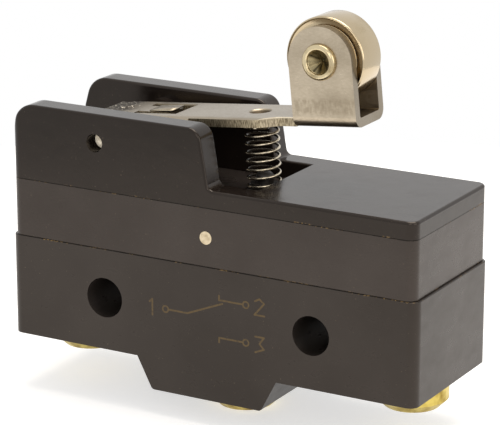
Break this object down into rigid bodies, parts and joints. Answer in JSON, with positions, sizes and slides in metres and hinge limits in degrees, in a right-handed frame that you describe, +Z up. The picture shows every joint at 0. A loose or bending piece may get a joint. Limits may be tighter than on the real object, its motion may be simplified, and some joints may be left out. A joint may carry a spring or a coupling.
{
  "type": "roller lever limit switch",
  "caption": "Basic snap-action limit switch in a moulded case with a hinged sheet-metal lever, a steel roller in its fork, and an open coil spring under it.",
  "frame": {"origin": "on the line of the two mounting holes, halfway between them and in the middle of the case's thickness", "axes": "+X along the case towards the roller, +Y to the back along the mounting holes, +Z up from the terminals to the lever"},
  "size_m": [0.0496, 0.0174, 0.0447],
  "materials": {
    "phenolic_base": "moulded phenolic, warm black, satin",
    "phenolic_cover": "moulded phenolic, warm black, satin",
    "phenolic_housing": "moulded phenolic, warm black, satin to gloss on the deck",
    "pin_brass": "turned brass, end bright",
    "pin_steel": "ground steel",
    "lever_steel": "rolled nickel-plated steel sheet with sheared edges",
    "rivet_steel": "flared steel rivet",
    "roller_steel": "turned and polished steel",
    "plunger_resin": "moulded resin",
    "spring_steel": "drawn spring wire",
    "blade_copper": "rolled beryllium copper",
    "contact_silver": "silver contact metal",
    "terminal_brass": "stamped brass strip",
    "screw_brass": "turned brass with small tarnish spots",
    "washer_brass": "brass ring"
  },
  "bodies": {
    "case": {"base_case": "phenolic_base", "middle_cover": "phenolic_cover", "actuator_housing": "phenolic_housing", "cross_pin": "pin_brass", "hinge_pin": "pin_steel", "return_spring": "spring_steel", "blade_anchor": "terminal_brass", "blade_rivet": "terminal_brass", "tongue_anvil": "terminal_brass", "upper_contact": "contact_silver", "lower_contact": "contact_silver", "common_terminal": "terminal_brass", "upper_terminal": "terminal_brass", "lower_terminal": "terminal_brass", "terminal_screws": "screw_brass", "lock_washers": "washer_brass"},
    "lever_arm": {"lever": "lever_steel", "roller_axle": "rivet_steel"},
    "roller_wheel": {"roller": "roller_steel"},
    "plunger_pin": {"plunger": "plunger_resin"},
    "contact_arm": {"moving_contact": "contact_silver", "snap_blade": "blade_copper"}
  },
  "joints": [
    {"name": "lever_hinge", "type": "hinge", "parent": "case", "child": "lever_arm", "pos_m": [-0.0137, 0, 0.0172], "axis": [0, 1, 0], "range_deg": [0, 13.8], "stiffness_Nm_per_rad": 0.06, "springref_deg": -22.92, "deforming": ["return_spring"]},
    {"name": "roller_spin", "type": "hinge", "parent": "lever_arm", "child": "roller_wheel", "pos_m": [0.0105, 0, 0.02771], "axis": [0, 1, 0], "continuous": true},
    {"name": "plunger_slide", "type": "slide", "parent": "case", "child": "plunger_pin", "axis": [0, 0, -1], "range_m": [0, 0.0005]},
    {"name": "contact_swing", "type": "hinge", "parent": "case", "child": "contact_arm", "pos_m": [-0.01755, 0, 0.007], "axis": [0, 1, 0], "range_deg": [0, 0.8], "deforming": ["snap_blade"]}
  ],
  "couplings": [
    {"joint": "plunger_slide", "follows": "lever_hinge", "m_per_rad": 0.002},
    {"joint": "contact_swing", "follows": "lever_hinge", "ratio": 0.057}
  ]
}
